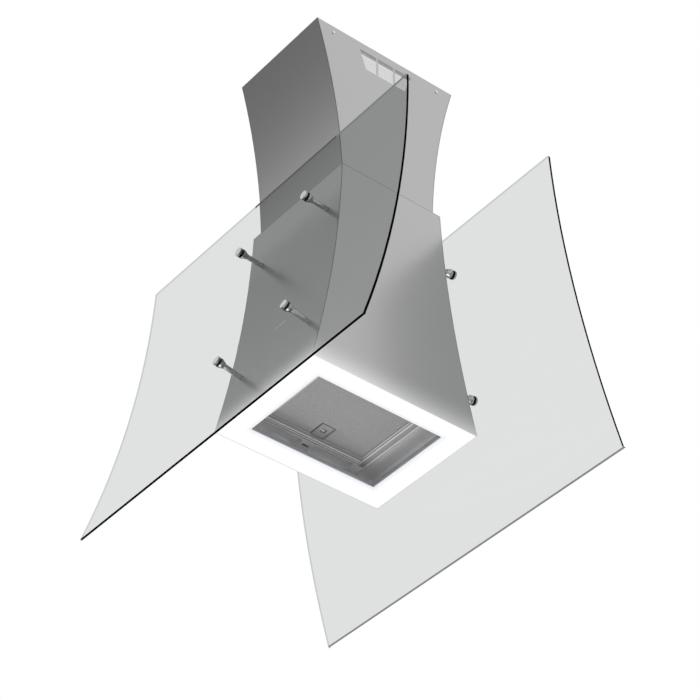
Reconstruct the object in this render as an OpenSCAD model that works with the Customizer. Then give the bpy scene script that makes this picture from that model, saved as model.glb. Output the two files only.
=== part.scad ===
// Curved glass island hood
//
// Millimetres. +Z is up, X runs across the front, and the buttons face -Y.
// The origin is the middle of the four ceiling anchor holes, on the ceiling, so the hood hangs below z = 0.

/* [Overall] */
// Height of the chimney cover, from the ceiling to the seam
chimney_h = 406; // [340:1:490]
// Height of the lower body, from the seam to the light panel
body_h = 546; // [455:1:660]
// Thickness of the steel sheets
sheet_t = 1.2; // [0.8:0.1:1.5]

/* [Chimney cover] */
// Width at the ceiling
chimney_top_w = 269; // [262:1:275]
// Depth at the ceiling
chimney_top_d = 375; // [360:1:400]
// Width at the seam
chimney_base_w = 276; // [270:1:280]
// Depth at the seam
chimney_base_d = 240; // [230:1:244]
// How far the front and back sheets bow inwards
chimney_sag = 12; // [6:0.5:14]
// Rows of vent slots in each side sheet
vent_rows = 12; // [4:1:14]
// Height of one vent slot
vent_slot_h = 2.1; // [1.5:0.1:3]
// Spacing of the vent rows
vent_pitch = 4.4; // [4:0.1:6]
// Ceiling to the top edge of the first slot
vent_drop = 22.5; // [15:0.5:60]
// Length of the top row of slots
vent_top_w = 142; // [110:1:150]
// Length of the bottom row of slots
vent_bottom_w = 111; // [90:1:142]
// Distance between the two bars that divide the rows
vent_bar_spacing = 47; // [40:1:60]
// Width of each bar
vent_bar_w = 5; // [3:0.5:8]

/* [Lower body] */
// Width at the seam
body_top_w = 300; // [296:1:306]
// Depth at the seam
body_top_d = 260; // [256:1:280]
// Width at the bottom
body_base_w = 312; // [308:1:330]
// Depth at the bottom
body_base_d = 410; // [400:1:450]
// How far the front and back sheets bow inwards
body_sag = 14.25; // [8:0.25:16]

/* [Glass panels] */
// Width at the bottom edge, which sets the nominal size of the hood
glass_w = 900; // [700:1:1100]
// Width at the top edge
glass_top_w = 854; // [650:1:1050]
// Thickness
glass_t = 5; // [4:0.5:8]
// Middle plane of the hood to the inner face, at the top edge
glass_top_y = 184; // [175:1:230]
// Middle plane of the hood to the inner face, at the bottom edge
glass_bottom_y = 311; // [290:1:360]
// Top edge above the seam
glass_rise = 2; // [0:1:40]
// Bottom edge below the bottom of the body
glass_drop = 147; // [60:1:200]
// How far the glass bows inwards
glass_sag = 26.5; // [15:0.5:32]
// Radius of the corners
glass_corner_r = 3; // [2:1:20]

/* [Standoffs] */
// Distance between the two rods of a row
standoff_spacing = 220; // [160:1:250]
// Height of the upper row above the bottom of the body, as a share of the height of the body
standoff_high_share = 0.817; // [0.7:0.001:0.85]
// Height of the lower row above the bottom of the body, as a share of the height of the body
standoff_low_share = 0.244; // [0.15:0.001:0.4]
// Diameter of the rods
rod_d = 11; // [9:0.5:14]
// Diameter of the caps and collars
standoff_head_d = 20; // [18:0.5:26]
// Thickness of the caps
standoff_cap_t = 4.5; // [3:0.5:7]
// Thread of the studs
stud_d = 8; // [6:1:8]

/* [Ceiling frame] */
// Spacing of the ceiling anchors across the front
anchor_spacing_x = 180; // [140:1:200]
// Spacing of the ceiling anchors from front to back
anchor_spacing_y = 290; // [270:1:310]
// Diameter of the anchor holes
anchor_d = 8.5; // [7:0.5:11]
// Thickness of the ceiling bracket
bracket_t = 2.5; // [2:0.5:4]
// Opening of the ceiling bracket across the front
bracket_open_w = 230; // [190:1:236]
// Opening of the ceiling bracket from front to back
bracket_open_d = 200; // [170:1:210]
// Leg of the angle uprights
upright_leg = 22; // [18:1:25]
// Thickness of the angle uprights
upright_t = 2; // [1.5:0.5:3]
// Thickness of the plate that carries the hood
plate_t = 2; // [1.5:0.5:3]

/* [Light panel] */
// Opening across the front
light_open_w = 214; // [205:1:240]
// Opening from front to back
light_open_d = 309; // [280:1:330]
// Width of the inner lip
light_lip_w = 13; // [8:0.5:20]
// Thickness of the opal diffuser
diffuser_t = 3; // [2:0.5:4]
// Height of the light frame
light_frame_h = 14; // [11:1:20]
// LEDs on each long strip
led_count = 12; // [4:1:20]

/* [Grease filter] */
// Height of the tray above the bottom of the body
tray_level = 52; // [40:1:80]
// Filter across the front
filter_w = 197; // [160:1:198]
// Filter from front to back
filter_d = 237; // [200:1:240]
// Thickness of the filter
filter_t = 9; // [8:0.5:12]
// Gap round the filter
filter_gap = 1; // [0.8:0.1:1.5]
// Width of the filter's rim
filter_rim = 4; // [3:0.5:14]
// Depth of the pressed pockets of the tray
pocket_h = 12; // [6:1:14]
// Travel of the filter latch
latch_travel = 6; // [4:0.5:6]

/* [Blower] */
// Diameter of the impeller
impeller_d = 124; // [100:1:128]
// Width of the impeller
impeller_w = 120; // [90:1:130]
// Number of blades
blade_count = 36; // [20:1:44]
// Depth of the blades, from their tips inwards
blade_depth = 10; // [7:0.5:12]
// Wall of the scroll case
scroll_wall = 2; // [1.5:0.1:2.5]
// Growth of the scroll's radius for each radian
scroll_growth = 0.08; // [0.06:0.01:0.09]
// Diameter of the motor
motor_d = 72; // [50:1:80]
// Diameter of the shaft
shaft_d = 8; // [6:0.5:10]

/* [Outlet] */
// Outer diameter of the spigot that the duct slides over
outlet_d = 150; // [120:0.5:152]
// Height of the spigot
outlet_h = 60; // [45:1:80]
// Wall of the spigot
outlet_wall = 2; // [1.5:0.1:3]

/* [Controls] */
// Height of the buttons above the bottom of the body
button_level = 194; // [150:1:300]
// Spacing of the buttons
button_pitch = 7.3; // [7:0.1:12]
// Diameter of the buttons
button_d = 4.6; // [3.5:0.1:5.5]
// Travel of the buttons
button_travel = 0.8; // [0.4:0.1:1]

/* [Hidden] */

$fn = 72;
// Sides of the drawn circle for the long shallow arcs
arc_fn = 256;
// Overrun of the cuts
over = 1;

// Clearances
seam_gap = 0.1;
wall_gap = 0.3;
part_gap = 1.2;
seat_gap = 0.1;
hole_play = 0.4;
fit_play = 0.05;

steel = [0.62, 0.63, 0.64];
dark_steel = [0.45, 0.46, 0.47];
zinc = [0.72, 0.73, 0.75];
chrome = [0.85, 0.86, 0.88];
tint = [0.80, 0.87, 0.85, 0.45];
opal = [1, 1, 0.98];
black = [0.12, 0.12, 0.13];

// Heights of the seam and of the bottom of the body
z_seam = -chimney_h;
z_base = z_seam - body_h;

// Circle through two points of a half profile, bowed in by s between them: [centre y, centre z, radius]
function bow(a, b, s) =
    let(
        chord = norm(b - a),
        r = (chord * chord / 4 + s * s) / (2 * s),
        mid = (a + b) / 2,
        out = [b.y - a.y, a.x - b.x] / chord
    )
    [mid.x + out.x * (r - s), mid.y + out.y * (r - s), r];

// Distance of a bowed face from the middle plane, and its tilt from upright, at a height
function bow_y(arc, z) = arc[0] - sqrt(pow(arc[2], 2) - pow(z - arc[1], 2));
function bow_tilt(arc, z) = asin((arc[1] - z) / arc[2]);

chimney_arc = bow([chimney_base_d / 2, z_seam], [chimney_top_d / 2, 0], chimney_sag);
body_arc = bow([body_base_d / 2, z_base], [body_top_d / 2, z_seam], body_sag);
glass_arc = bow([glass_bottom_y, z_base - glass_drop], [glass_top_y, z_seam + glass_rise], glass_sag);

// Half widths of the flat-sided chimney and body at a height
function chimney_x(z) = (chimney_top_w + (chimney_base_w - chimney_top_w) * z / z_seam) / 2;
function body_x(z) = (body_base_w + (body_top_w - body_base_w) * (z - z_base) / body_h) / 2;

// A profile drawn as (y, z) and pushed along X, or drawn as (x, z) and pushed along Y
module along_x(w) {
    rotate([90, 0, 90]) linear_extrude(w, center = true) children();
}
module along_y(d) {
    rotate([90, 0, 0]) linear_extrude(d, center = true) children();
}
// A profile drawn as (y, z) and pushed from x = 0 towards +X
module from_x(w) {
    rotate([90, 0, 90]) linear_extrude(w) children();
}
// Round things along X, and a box between two corners
module rod_x(d, from, to) {
    translate([from, 0, 0]) rotate([0, 90, 0]) cylinder(d = d, h = to - from);
}
module block(low, high) {
    translate(low) cube(high - low);
}
// The children in each quadrant, or on each side of the middle planes
module flip_x(side) {
    mirror([side < 0 ? 1 : 0, 0, 0]) children();
}
module flip_y(side) {
    mirror([0, side < 0 ? 1 : 0, 0]) children();
}
module corners() {
    for (sx = [-1, 1], sy = [-1, 1]) flip_x(sx) flip_y(sy) children();
}

// Sheets of the chimney and of the body

// Seen from the side, one bowed sheet of the back between two heights
module bow_section(arc, low, high) {
    intersection() {
        translate([arc[0], arc[1]]) difference() {
            circle(arc[2] + sheet_t, $fn = arc_fn);
            circle(arc[2], $fn = arc_fn);
        }
        translate([0, low]) square([arc[0], high - low]);
    }
}

// Seen from the side, the room between the bowed sheets, drawn in from their outer faces
module bow_room(arc, inset, low, high) {
    difference() {
        translate([-arc[0], low]) square([2 * arc[0], high - low]);
        for (side = [-1, 1])
            translate([side * arc[0], arc[1]]) circle(arc[2] + inset, $fn = arc_fn);
    }
}

// The bowed sheet on the +Y side
module bowed_panel(arc, low, high, low_w, high_w) {
    intersection() {
        along_x(max(low_w, high_w)) bow_section(arc, low, high);
        along_y(2 * arc[0])
            polygon([[-low_w / 2, low], [low_w / 2, low], [high_w / 2, high], [-high_w / 2, high]]);
    }
}

// The flat sheet on the +X side, which fits between the bowed ones
module flat_panel(arc, low, high, low_w, high_w) {
    intersection() {
        along_x(max(low_w, high_w)) bow_room(arc, sheet_t + seam_gap, low, high);
        along_y(2 * arc[0]) polygon([
            [low_w / 2 - sheet_t, low], [low_w / 2, low],
            [high_w / 2, high], [high_w / 2 - sheet_t, high]]);
    }
}

// Seen from +X, rows of slots that shorten downwards, divided by two bars
module vent_slots() {
    bar_in = (vent_bar_spacing - vent_bar_w) / 2;
    bar_out = (vent_bar_spacing + vent_bar_w) / 2;
    for (row = [0:vent_rows - 1]) {
        low = -vent_drop - vent_slot_h - row * vent_pitch;
        half = (vent_top_w + (vent_bottom_w - vent_top_w) * row / (vent_rows - 1)) / 2;
        translate([-bar_in, low]) square([2 * bar_in, vent_slot_h]);
        for (start = [-half, bar_out])
            translate([start, low]) square([half - bar_out, vent_slot_h]);
    }
}

cover_screw_d = 4;
cover_screw_head_d = 7;
cover_screw_head_t = 1.6;
cover_screw_drop = 18.5;
cover_screw_inset = 44;
cover_screw_y = chimney_top_d / 2 - cover_screw_inset;
cover_screw_l = 8;

module chimney_side() {
    color(steel) difference() {
        flat_panel(chimney_arc, z_seam, 0, chimney_base_w, chimney_top_w);
        translate([chimney_top_w / 2, 0, 0]) along_x(chimney_base_w / 2) vent_slots();
        for (side = [-1, 1])
            translate([0, side * cover_screw_y, -cover_screw_drop])
                rod_x(cover_screw_d + hole_play, 0, chimney_base_w);
    }
}

module chimney_sheet() {
    color(dark_steel) bowed_panel(chimney_arc, z_seam, 0, chimney_base_w, chimney_top_w);
}

module chimney_screws() {
    seat = chimney_x(-cover_screw_drop) + fit_play;
    color(zinc) corners() translate([0, cover_screw_y, -cover_screw_drop]) {
        rod_x(cover_screw_head_d, seat, seat + cover_screw_head_t);
        rod_x(cover_screw_d, seat - cover_screw_l, seat + cover_screw_head_t / 2);
    }
}

module body_side() {
    color(steel) flat_panel(body_arc, z_base, z_seam, body_base_w, body_top_w);
}

module body_sheet(with_buttons) {
    color(dark_steel) difference() {
        bowed_panel(body_arc, z_base, z_seam, body_base_w, body_top_w);
        for (x = [-1, 1], share = [standoff_high_share, standoff_low_share])
            at_standoff(x, share)
                translate([0, 0, -rod_length(share) - stud_tail])
                    cylinder(d = stud_d + hole_play, h = 2 * stud_tail);
        if (with_buttons)
            at_buttons() translate([0, 0, -button_depth])
                cylinder(d = button_d + 2 * button_play, h = 2 * button_depth);
    }
}

// Ceiling bracket, uprights and the plate that carries the hood

frame_room = 7;
tab_w = 30;
tab_h = 30;
frame_bolt_d = 6;
frame_bolt_head_d = 11;
frame_bolt_head_t = 3.5;
frame_bolt_tail = 4;
frame_bolt_shares = [0.35, 0.78];
flange_h = 40;
tab_foot_w = 16;
bracket_room = 3;
frame_x = min(chimney_top_w, chimney_base_w) / 2 - sheet_t - frame_room;
frame_y = min(chimney_top_d, chimney_base_d) / 2 - sheet_t - frame_room;
bracket_x = chimney_top_w / 2 - sheet_t - wall_gap;
bracket_y = bow_y(chimney_arc, -bracket_t) - sheet_t - bracket_room;
plate_x = body_top_w / 2 - sheet_t - wall_gap;
plate_y = body_top_d / 2 - sheet_t - wall_gap;
plate_edge_h = 15;
wire_hole_d = 14;

// In the +X +Y quadrant, the holes of one end's frame bolts and the flange that they pass through
module frame_bolt_holes(z, up) {
    for (share = frame_bolt_shares)
        translate([0, frame_y - upright_leg / 2, z + up * share * flange_h])
            rod_x(frame_bolt_d + hole_play, frame_x - upright_leg, frame_x + over);
}
module frame_flange(low, high) {
    block([frame_x - upright_t - bracket_t, frame_y - upright_leg, low],
        [frame_x - upright_t, frame_y - upright_t - wall_gap, high]);
}

module ceiling_bracket() {
    color(dark_steel) difference() {
        union() {
            block([-bracket_x, -bracket_y, -bracket_t], [bracket_x, bracket_y, 0]);
            corners() {
                frame_flange(-flange_h, 0);
                block([bracket_x - bracket_t, cover_screw_y - tab_w / 2, -tab_h],
                    [bracket_x, cover_screw_y + tab_w / 2, 0]);
            }
        }
        translate([0, 0, -bracket_t - over]) linear_extrude(bracket_t + 2 * over)
            square([bracket_open_w, bracket_open_d], center = true);
        corners() {
            translate([anchor_spacing_x / 2, anchor_spacing_y / 2, -bracket_t - over])
                cylinder(d = anchor_d, h = bracket_t + 2 * over);
            frame_bolt_holes(0, -1);
            translate([0, cover_screw_y, -cover_screw_drop])
                rod_x(cover_screw_d + hole_play, bracket_x - 2 * bracket_t, bracket_x + over);
        }
    }
}

module upright() {
    color(zinc) difference() {
        block([frame_x - upright_leg, frame_y - upright_leg, z_seam], [frame_x, frame_y, -bracket_t]);
        block([frame_x - upright_leg - over, frame_y - upright_leg - over, z_seam - over],
            [frame_x - upright_t, frame_y - upright_t, 0]);
        frame_bolt_holes(0, -1);
        frame_bolt_holes(z_seam, 1);
    }
}

tie_h = 20;
module upright_ties() {
    tie = [2 * (frame_x - upright_t), 2 * (frame_y - upright_t)];
    color(zinc) translate([0, 0, (z_seam - tie_h) / 2]) linear_extrude(tie_h) difference() {
        square(tie, center = true);
        square(tie - [2 * upright_t, 2 * upright_t], center = true);
    }
}

module frame_bolts() {
    inner_end = frame_x - upright_t - bracket_t - frame_bolt_tail;
    color(zinc) corners() for (end = [[0, -1], [z_seam, 1]], share = frame_bolt_shares)
        translate([0, frame_y - upright_leg / 2, end[0] + end[1] * share * flange_h]) {
            rod_x(frame_bolt_d, inner_end, frame_x + frame_bolt_head_t / 2);
            translate([frame_x, 0, 0]) rotate([0, 90, 0])
                cylinder(d = frame_bolt_head_d, h = frame_bolt_head_t, $fn = 6);
        }
}

module top_plate() {
    inner = [plate_x - plate_t, plate_y - plate_t];
    color(zinc) difference() {
        block([-plate_x, -plate_y, z_seam - plate_edge_h], [plate_x, plate_y, z_seam]);
        block([-inner.x, -inner.y, z_seam - plate_edge_h - over], [inner.x, inner.y, z_seam - plate_t]);
        translate([0, 0, z_seam - plate_t - over])
            cylinder(d = outlet_d - 2 * outlet_wall, h = plate_t + 2 * over);
        translate([terminal_x, 0, z_seam - plate_t - over])
            cylinder(d = wire_hole_d, h = plate_t + 2 * over);
        corners() blower_bolt_hole();
    }
}

// Angle tabs welded to the plate, which the uprights bolt to
module plate_tabs() {
    foot = [frame_x - upright_t - tab_foot_w, frame_y - upright_leg];
    color(zinc) corners() difference() {
        union() {
            frame_flange(z_seam + fit_play, z_seam + flange_h);
            block([foot.x, foot.y, z_seam + fit_play],
                [frame_x - upright_t, frame_y - upright_t - wall_gap, z_seam + fit_play + bracket_t]);
        }
        frame_bolt_holes(z_seam, 1);
    }
}

// Tray round the filter, seen from below as a pressed sheet

z_tray = z_base + tray_level;
tray_x = body_x(z_tray + pocket_h) - sheet_t - wall_gap;
tray_y = bow_y(body_arc, z_tray + pocket_h) - sheet_t - wall_gap;
hole_x = filter_w / 2 + filter_gap;
hole_y = filter_d / 2 + filter_gap;
seat_lip = 8;
lift_gap = 0.5;
z_seat = z_tray + filter_t + lift_gap;
bead_d = 3.2;
ridge_d = 3;
ridge_count = 2;
border_w = 18.1;
side_pad = 30;
corner_pad = 6;
gutter_gap = 22;
gutter_y = hole_y + gutter_gap;
pocket_r = 3;
pad_slot = [5, 17];
pad_slot_inset = 12;

// Corners of the pressed pockets: one beside the filter in the +X +Y quadrant, and one across the +Y end
side_pocket = [[hole_x + border_w + bead_d, side_pad / 2], [tray_x - sheet_t, hole_y - corner_pad]];
gutter_pocket = [[sheet_t - tray_x, gutter_y], [tray_x - sheet_t, tray_y - sheet_t]];

// A rectangle with round corners between two corners
module rounded_rectangle(low, high, r) {
    translate(low + [r, 0]) square(high - low - [2 * r, 0]);
    translate(low + [0, r]) square(high - low - [0, 2 * r]);
    for (x = [low.x + r, high.x - r], y = [low.y + r, high.y - r])
        translate([x, y]) circle(r);
}
module pocket_outer(pocket) {
    skin = [sheet_t, sheet_t];
    translate([0, 0, z_tray]) linear_extrude(pocket_h + sheet_t)
        rounded_rectangle(pocket[0] - skin, pocket[1] + skin, pocket_r + sheet_t);
}
module pocket_inner(pocket) {
    translate([0, 0, z_tray - over]) linear_extrude(pocket_h + over)
        rounded_rectangle(pocket[0], pocket[1], pocket_r);
}
// A bead along Y or along X, half sunk in the underside of the tray
module bead_along_y(d, x, half) {
    translate([x, half, z_tray]) rotate([90, 0, 0]) cylinder(d = d, h = 2 * half);
}
module bead_along_x(d, y, half) {
    translate([-half, y, z_tray]) rotate([0, 90, 0]) cylinder(d = d, h = 2 * half);
}

module suction_tray() {
    bead_x = hole_x + border_w;
    color(steel) difference() {
        union() {
            block([-tray_x, -tray_y, z_tray], [tray_x, tray_y, z_tray + sheet_t]);
            block([-hole_x - sheet_t, -hole_y - sheet_t, z_tray],
                [hole_x + sheet_t, hole_y + sheet_t, z_seat + sheet_t]);
            corners() pocket_outer(side_pocket);
            for (side = [-1, 1]) {
                flip_y(side) pocket_outer(gutter_pocket);
                bead_along_y(bead_d, side * bead_x, hole_y);
                for (i = [1:ridge_count])
                    bead_along_y(ridge_d, side * (hole_x + border_w * i / (ridge_count + 1)), hole_y);
                bead_along_x(bead_d, side * (hole_y + bead_d), bead_x);
                bead_along_x(bead_d, side * (gutter_y - bead_d), tray_x - corner_pad);
            }
        }
        corners() pocket_inner(side_pocket);
        for (side = [-1, 1]) flip_y(side) {
            pocket_inner(gutter_pocket);
            tab_slot();
        }
        translate([-side_pocket[0].x - pad_slot_inset, 0, z_tray - over])
            linear_extrude(sheet_t + 2 * over) square(pad_slot, center = true);
        block([-hole_x, -hole_y, z_tray - bead_d], [hole_x, hole_y, z_seat]);
        block([-hole_x + seat_lip, -hole_y + seat_lip, z_tray],
            [hole_x - seat_lip, hole_y - seat_lip, z_seat + 2 * sheet_t]);
        tongue_slot(-hole_x - 2 * sheet_t, -hole_x + over);
    }
}

// Light panel: a channel ring, the opal ring below it and the LED strips inside

light_x = body_x(z_base + light_frame_h) - sheet_t - wall_gap;
light_y = bow_y(body_arc, z_base + light_frame_h) - sheet_t - wall_gap;
diffuser_y = bow_y(body_arc, z_base + diffuser_t) - sheet_t - wall_gap;
lip_z = z_base + diffuser_t + seat_gap;
light_wall = 1.2;
diffuser_lap = 2;

module light_frame() {
    opening = [light_open_w, light_open_d];
    lip = opening + 2 * [light_lip_w, light_lip_w];
    color(zinc) difference() {
        block([-light_x, -light_y, lip_z], [light_x, light_y, z_base + light_frame_h]);
        translate([0, 0, z_base]) linear_extrude(2 * light_frame_h) square(opening, center = true);
        translate([0, 0, lip_z + light_wall])
            linear_extrude(light_frame_h - diffuser_t - seat_gap - 2 * light_wall) difference() {
                square(2 * [light_x - light_wall, light_y - light_wall], center = true);
                square(opening + 2 * [light_wall, light_wall], center = true);
            }
        translate([0, 0, lip_z - over]) linear_extrude(2 * light_wall + over) difference() {
            square(2 * [light_x - light_wall, light_y - light_wall], center = true);
            square(lip, center = true);
        }
    }
}

module light_diffuser() {
    inner = [light_open_w, light_open_d] + 2 * [light_lip_w - diffuser_lap, light_lip_w - diffuser_lap];
    color(opal) translate([0, 0, z_base]) linear_extrude(diffuser_t) difference() {
        square([2 * light_x, 2 * diffuser_y], center = true);
        square(inner, center = true);
    }
}

led_strip_w = 8;
led_strip_t = 1.6;
led_size = 3;
led_t = 1;
module led_strips() {
    z_strip = z_base + light_frame_h - light_wall - led_strip_t;
    mid_x = (light_x + light_open_w / 2 + light_lip_w) / 2;
    mid_y = (light_y + light_open_d / 2 + light_lip_w) / 2;
    color(opal) for (side = [-1, 1]) {
        translate([side * mid_x, 0, z_strip]) led_strip(2 * mid_y - 2 * led_strip_w, led_count);
        translate([0, side * mid_y, z_strip]) rotate([0, 0, 90])
            led_strip(2 * mid_x - 2 * led_strip_w, round(led_count * mid_x / mid_y));
    }
}
module led_strip(length, count) {
    translate([-led_strip_w / 2, -length / 2, 0]) cube([led_strip_w, length, led_strip_t]);
    for (i = [0:count - 1])
        translate([-led_size / 2, length * ((i + 0.5) / count - 0.5) - led_size / 2, -led_t])
            cube([led_size, led_size, led_t + led_strip_t / 2]);
}

driver_size = [38, 150, 28];
driver_inset = 5.1;
module led_driver() {
    low = [tray_x - driver_size.x - driver_inset, -driver_size.y / 2, z_tray + pocket_h + sheet_t];
    color(black) translate(low) cube(driver_size);
}

// Grease filter with its sliding latch

mesh_t = 5;
filter_edge_t = 1;
cup_in = 2;
cup_l = 42;
cup_w = 32;
cup_wall = 1;
cup_recess = 2;
latch_low = 3.6;
latch_tongue_w = 16;
latch_tongue_t = 2.5;
latch_reach = 4;
latch_tab_w = 12;
latch_tab_t = 3;
latch_plate_l = 24;
cup_x = -filter_w / 2 + cup_in;
latch_tab_x = cup_x + latch_plate_l - 2 * latch_tab_t;

// The filter's pivot line lies this far in from its +X edge and above its underside
pivot_in = 1.5;
pivot_rise = 1.5;
filter_tab_w = 15;
filter_tab_l = 3.5;
filter_tab_t = 1.2;
filter_tab_share = 0.3;
tab_sweep = norm([pivot_in + filter_tab_l, filter_tab_t]);

// A block as wide as a tab and its room, between two places along X and two heights, in the +Y half
module tab_block(from, to, low, high, room) {
    y = filter_d * filter_tab_share;
    half = filter_tab_w / 2 + room;
    block([from, y - half, low], [to, y + half, high]);
}
module filter_tab() {
    low = z_tray + pivot_rise;
    tab_block(filter_w / 2 - filter_edge_t, filter_w / 2 + filter_tab_l, low, low + filter_tab_t, 0);
}
// The slot that the tab turns in as the filter swings down
module tab_slot() {
    high = z_tray + pivot_rise + tab_sweep;
    tab_block(hole_x - over, hole_x + sheet_t + over, z_tray + sheet_t, high, hole_play);
}

// Room for the latch's tongue between two places along X
module tongue_slot(from, to) {
    half = latch_tongue_w / 2 + hole_play;
    low = z_tray + latch_low;
    block([from, -half, low - hole_play], [to, half, low + latch_tongue_t + hole_play]);
}

module filter_frame() {
    outer = [filter_w, filter_d];
    window = outer - 2 * [filter_rim, filter_rim];
    groove = outer - 2 * [filter_edge_t, filter_edge_t];
    color(zinc) difference() {
        union() {
            translate([0, 0, z_tray]) linear_extrude(filter_t) square(outer, center = true);
            for (side = [-1, 1]) flip_y(side) filter_tab();
        }
        translate([0, 0, z_tray - over]) linear_extrude(filter_t + 2 * over) square(window, center = true);
        translate([0, 0, z_tray + (filter_t - mesh_t) / 2 - seat_gap]) linear_extrude(mesh_t + 2 * seat_gap)
            square(groove, center = true);
        block([cup_x - wall_gap, -cup_w / 2 - wall_gap, z_tray - over],
            [cup_x + cup_l, cup_w / 2 + wall_gap, z_tray + filter_t + over]);
        tongue_slot(-filter_w, 0);
    }
}

module filter_mesh() {
    size = [filter_w, filter_d] - 2 * [filter_edge_t + wall_gap, filter_edge_t + wall_gap];
    color(dark_steel) difference() {
        translate([0, 0, z_tray + (filter_t - mesh_t) / 2])
            linear_extrude(mesh_t) square(size, center = true);
        block([-filter_w, -cup_w / 2 - wall_gap, z_tray],
            [cup_x + cup_l + wall_gap, cup_w / 2 + wall_gap, z_tray + filter_t]);
    }
}

// Shallow cup round the latch: the tongue slides above its floor, and the tab comes down through a slot
module latch_cup() {
    half = latch_tongue_w / 2 + hole_play;
    color(zinc) difference() {
        block([cup_x, -cup_w / 2, z_tray], [cup_x + cup_l, cup_w / 2, z_tray + filter_t]);
        block([cup_x + cup_wall, -cup_w / 2 + cup_wall, z_tray - over],
            [cup_x + cup_l - cup_wall, cup_w / 2 - cup_wall, z_tray + cup_recess]);
        block([cup_x + cup_wall, -half, z_tray + cup_recess + cup_wall],
            [cup_x + latch_plate_l + latch_travel + wall_gap, half, z_tray + filter_t - cup_wall]);
        block([latch_tab_x - wall_gap, -latch_tab_w / 2 - wall_gap, z_tray],
            [latch_tab_x + latch_tab_t + latch_travel + wall_gap, latch_tab_w / 2 + wall_gap,
                z_tray + filter_t / 2]);
        tongue_slot(cup_x - over, cup_x + 2 * cup_wall);
    }
}

module filter_latch() {
    top = z_tray + latch_low + latch_tongue_t;
    color(steel) {
        block([-filter_w / 2 - latch_reach, -latch_tongue_w / 2, z_tray + latch_low],
            [cup_x + latch_plate_l, latch_tongue_w / 2, top]);
        block([latch_tab_x, -latch_tab_w / 2, z_tray + wall_gap],
            [latch_tab_x + latch_tab_t, latch_tab_w / 2, top]);
    }
}

// Blower: a double inlet wheel in a scroll case, with the motor inside the wheel

impeller_r = impeller_d / 2;
impeller_gap = 6;
side_room = 10;
throat_step = 1;
neck_h = 44;
inlet_step = 12;
scroll_r0 = impeller_r + impeller_gap;
scroll_w = impeller_w + 2 * side_room;
tongue_angle = 80;
scroll_step = 7;
outlet_half = outlet_d / 2 - outlet_wall - throat_step;
z_scroll_top = z_seam - plate_t;
z_blower = z_scroll_top - neck_h - scroll_r(tongue_angle);
front_room = bow_y(body_arc, z_blower) - sheet_t - part_gap - scroll_wall - scroll_r(180);
blower_y = max(outlet_half - scroll_r(360), -front_room);
inlet_r = impeller_r - inlet_step;
inlet_lip = 4;
blower_flange = 14;
blower_flange_t = 2;
blower_bolt_d = 5;
blower_bolt_share = 0.7;
blower_bolt_head_t = 3;

function scroll_r(a) = scroll_r0 * exp(scroll_growth * a * PI / 180);
function polar(r, a) = [r * cos(a), r * sin(a)];

// The scroll seen from +X round the shaft, grown by a wall
module scroll_outline(wall) {
    tongue = polar(scroll_r(tongue_angle) + wall, tongue_angle);
    top = z_scroll_top - z_blower;
    polygon(concat([[0, 0]], [for (a = [tongue_angle:scroll_step:360]) polar(scroll_r(a) + wall, a)]));
    polygon([[0, 0], [scroll_r(360) + wall, 0], [outlet_half - blower_y + wall, top],
        [-outlet_half - blower_y - wall, top], tongue]);
}

module scroll_half() {
    color(black) translate([0, blower_y, z_blower]) {
        difference() {
            from_x(scroll_w / 2) scroll_outline(scroll_wall);
            translate([-over, 0, 0]) from_x(scroll_w / 2 - scroll_wall + over) scroll_outline(0);
            rod_x(2 * inlet_r, 0, scroll_w);
            translate([0, 0, z_scroll_top - z_blower])
                block([-over, -outlet_d, 0], [scroll_w, outlet_d, over]);
        }
        difference() {
            rod_x(2 * (inlet_r + scroll_wall), scroll_w / 2 - scroll_wall, scroll_w / 2 + inlet_lip);
            rod_x(2 * inlet_r, 0, scroll_w);
        }
    }
    color(black) difference() {
        block([scroll_w / 2 - scroll_wall / 2, -outlet_half, z_scroll_top - blower_flange_t],
            [scroll_w / 2 + blower_flange, outlet_half, z_scroll_top]);
        for (sy = [-1, 1]) flip_y(sy) blower_bolt_hole();
    }
}

// In the +X +Y quadrant, the place of a blower bolt under the plate
module at_blower_bolt() {
    x = (scroll_w + blower_flange) / 2;
    translate([x, outlet_half * blower_bolt_share, z_scroll_top - blower_flange_t]) children();
}

module blower_bolt_hole() {
    at_blower_bolt() translate([0, 0, -over])
        cylinder(d = blower_bolt_d + hole_play, h = blower_flange_t + plate_t + 2 * over);
}

module blower_bolts() {
    color(zinc) corners() at_blower_bolt() {
        translate([0, 0, -blower_bolt_head_t])
            cylinder(d = 2 * blower_bolt_d, h = blower_bolt_head_t, $fn = 6);
        translate([0, 0, -blower_bolt_head_t / 2])
            cylinder(d = blower_bolt_d, h = blower_bolt_head_t + blower_flange_t + 2 * plate_t);
    }
}

// Blade, hub and ring sizes
blade_t = 1.2;
blade_curve_r = 11;
blade_lean = 38;
hub_t = 2;
hub_d = 24;
hub_l = 14;
end_ring_t = 3;

// One forward-curved blade seen along the shaft, where its arc crosses the ring of blades once
module blade_section() {
    tip = polar(impeller_r - blade_t / 2, 0);
    centre = tip + polar(blade_curve_r, 180 - blade_lean);
    intersection() {
        translate(centre) difference() {
            circle(blade_curve_r + blade_t / 2);
            circle(blade_curve_r - blade_t / 2);
        }
        difference() {
            circle(impeller_r - blade_t / 2);
            circle(impeller_r - blade_depth);
        }
        rotate(atan2(centre.y, centre.x)) translate([0, -impeller_r]) square(impeller_r);
    }
}

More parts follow.
